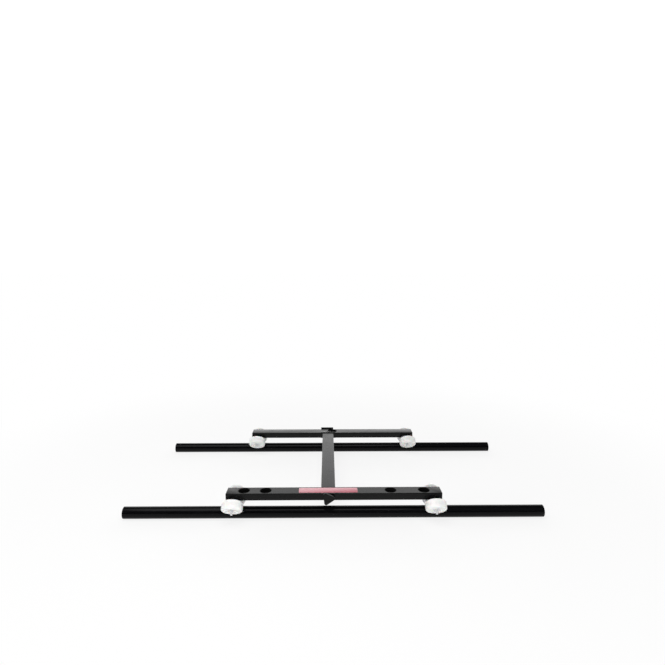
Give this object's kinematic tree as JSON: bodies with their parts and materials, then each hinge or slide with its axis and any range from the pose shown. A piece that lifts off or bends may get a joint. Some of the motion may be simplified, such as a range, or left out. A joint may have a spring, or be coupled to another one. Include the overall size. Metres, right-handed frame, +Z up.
{
  "type": "dolly track",
  "caption": "Carriage of black rectangular tube on pairs of wheels set at right angles, rolling along parallel round pipe rails on the floor, with foot cups along its bars.",
  "frame": {"origin": "on the floor, half way between the rails and half way along them", "axes": "+X along the rails, +Y from the bar with the clamp knob to the bar with the saddle, +Z up"},
  "size_m": [1.5, 0.7732, 0.1117],
  "materials": {
    "bar_enamel": "gloss black enamel on steel tube",
    "rail_enamel": "satin black enamel on steel pipe",
    "block_enamel": "black enamel on cast metal",
    "black_plastic": "moulded black plastic",
    "black_rubber": "dull black rubber",
    "white_urethane": "satin white cast urethane",
    "bright_steel": "zinc plated steel",
    "red_label": "bare red vinyl label"
  },
  "bodies": {
    "track": {"rail_front": "rail_enamel", "rail_rear": "rail_enamel", "rail_plug_front_left": "black_plastic", "rail_plug_front_right": "black_plastic", "rail_plug_rear_left": "black_plastic", "rail_plug_rear_right": "black_plastic"},
    "carriage": {"front_bar": "bar_enamel", "rear_bar": "bar_enamel", "centre_bar": "bar_enamel", "centre_plug_front": "bright_steel", "centre_plug_rear": "bright_steel", "rear_saddle": "bar_enamel", "foot_cup_front_outer_left": "black_rubber", "foot_cup_front_inner_left": "black_rubber", "foot_cup_front_inner_right": "black_rubber", "foot_cup_front_outer_right": "black_rubber", "foot_cup_rear_middle": "black_rubber", "end_block_front_left": "block_enamel", "end_block_front_right": "block_enamel", "end_block_rear_left": "block_enamel", "end_block_rear_right": "block_enamel", "axle_bolt_front_left_near": "bright_steel", "axle_bolt_front_left_far": "bright_steel", "axle_bolt_front_right_near": "bright_steel", "axle_bolt_front_right_far": "bright_steel", "axle_bolt_rear_left_near": "bright_steel", "axle_bolt_rear_left_far": "bright_steel", "axle_bolt_rear_right_near": "bright_steel", "axle_bolt_rear_right_far": "bright_steel"},
    "clamp_collar": {"clamp_washer": "bright_steel"},
    "clamp_screw": {"clamp_knob": "black_plastic", "clamp_bolt": "bright_steel"},
    "roller_front_left_near": {"wheel_front_left_near": "white_urethane", "inner_bearing_front_left_near": "bright_steel", "outer_bearing_front_left_near": "bright_steel"},
    "roller_front_left_far": {"wheel_front_left_far": "white_urethane", "inner_bearing_front_left_far": "bright_steel", "outer_bearing_front_left_far": "bright_steel"},
    "roller_front_right_near": {"wheel_front_right_near": "white_urethane", "inner_bearing_front_right_near": "bright_steel", "outer_bearing_front_right_near": "bright_steel"},
    "roller_front_right_far": {"wheel_front_right_far": "white_urethane", "inner_bearing_front_right_far": "bright_steel", "outer_bearing_front_right_far": "bright_steel"},
    "roller_rear_left_near": {"wheel_rear_left_near": "white_urethane", "inner_bearing_rear_left_near": "bright_steel", "outer_bearing_rear_left_near": "bright_steel"},
    "roller_rear_left_far": {"wheel_rear_left_far": "white_urethane", "inner_bearing_rear_left_far": "bright_steel", "outer_bearing_rear_left_far": "bright_steel"},
    "roller_rear_right_near": {"wheel_rear_right_near": "white_urethane", "inner_bearing_rear_right_near": "bright_steel", "outer_bearing_rear_right_near": "bright_steel"},
    "roller_rear_right_far": {"wheel_rear_right_far": "white_urethane", "inner_bearing_rear_right_far": "bright_steel", "outer_bearing_rear_right_far": "bright_steel"}
  },
  "joints": [
    {"name": "carriage_roll", "type": "slide", "parent": "track", "child": "carriage", "axis": [1, 0, 0], "range_m": [-0.35, 0.35]},
    {"name": "clamp_travel", "type": "slide", "parent": "carriage", "child": "clamp_collar", "axis": [0, -1, 0], "range_m": [0, 0.00375]},
    {"name": "clamp_turn", "type": "hinge", "parent": "clamp_collar", "child": "clamp_screw", "pos_m": [-0.021, -0.3354, 0.0897], "axis": [0, -1, 0], "range_deg": [0, 1080]},
    {"name": "spin_front_left_near", "type": "hinge", "parent": "carriage", "child": "roller_front_left_near", "pos_m": [-0.3556, -0.35165, 0.06275], "axis": [0, 0.7071, 0.7071], "range_deg": [-540, 540]},
    {"name": "spin_front_left_far", "type": "hinge", "parent": "carriage", "child": "roller_front_left_far", "pos_m": [-0.3556, -0.26835, 0.06275], "axis": [0, 0.7071, -0.7071], "range_deg": [-540, 540]},
    {"name": "spin_front_right_near", "type": "hinge", "parent": "carriage", "child": "roller_front_right_near", "pos_m": [0.3556, -0.35165, 0.06275], "axis": [0, 0.7071, 0.7071], "range_deg": [-540, 540]},
    {"name": "spin_front_right_far", "type": "hinge", "parent": "carriage", "child": "roller_front_right_far", "pos_m": [0.3556, -0.26835, 0.06275], "axis": [0, 0.7071, -0.7071], "range_deg": [-540, 540]},
    {"name": "spin_rear_left_near", "type": "hinge", "parent": "carriage", "child": "roller_rear_left_near", "pos_m": [-0.3556, 0.26835, 0.06275], "axis": [0, 0.7071, 0.7071], "range_deg": [-540, 540]},
    {"name": "spin_rear_left_far", "type": "hinge", "parent": "carriage", "child": "roller_rear_left_far", "pos_m": [-0.3556, 0.35165, 0.06275], "axis": [0, 0.7071, -0.7071], "range_deg": [-540, 540]},
    {"name": "spin_rear_right_near", "type": "hinge", "parent": "carriage", "child": "roller_rear_right_near", "pos_m": [0.3556, 0.26835, 0.06275], "axis": [0, 0.7071, 0.7071], "range_deg": [-540, 540]},
    {"name": "spin_rear_right_far", "type": "hinge", "parent": "carriage", "child": "roller_rear_right_far", "pos_m": [0.3556, 0.35165, 0.06275], "axis": [0, 0.7071, -0.7071], "range_deg": [-540, 540]}
  ],
  "couplings": [
    {"joint": "clamp_turn", "follows": "clamp_travel", "rad_per_m": 5026.5},
    {"joint": "spin_front_left_near", "follows": "carriage_roll", "rad_per_m": 26.667},
    {"joint": "spin_front_left_far", "follows": "carriage_roll", "rad_per_m": 26.667},
    {"joint": "spin_front_right_near", "follows": "carriage_roll", "rad_per_m": 26.667},
    {"joint": "spin_front_right_far", "follows": "carriage_roll", "rad_per_m": 26.667},
    {"joint": "spin_rear_left_near", "follows": "carriage_roll", "rad_per_m": 26.667},
    {"joint": "spin_rear_left_far", "follows": "carriage_roll", "rad_per_m": 26.667},
    {"joint": "spin_rear_right_near", "follows": "carriage_roll", "rad_per_m": 26.667},
    {"joint": "spin_rear_right_far", "follows": "carriage_roll", "rad_per_m": 26.667}
  ]
}
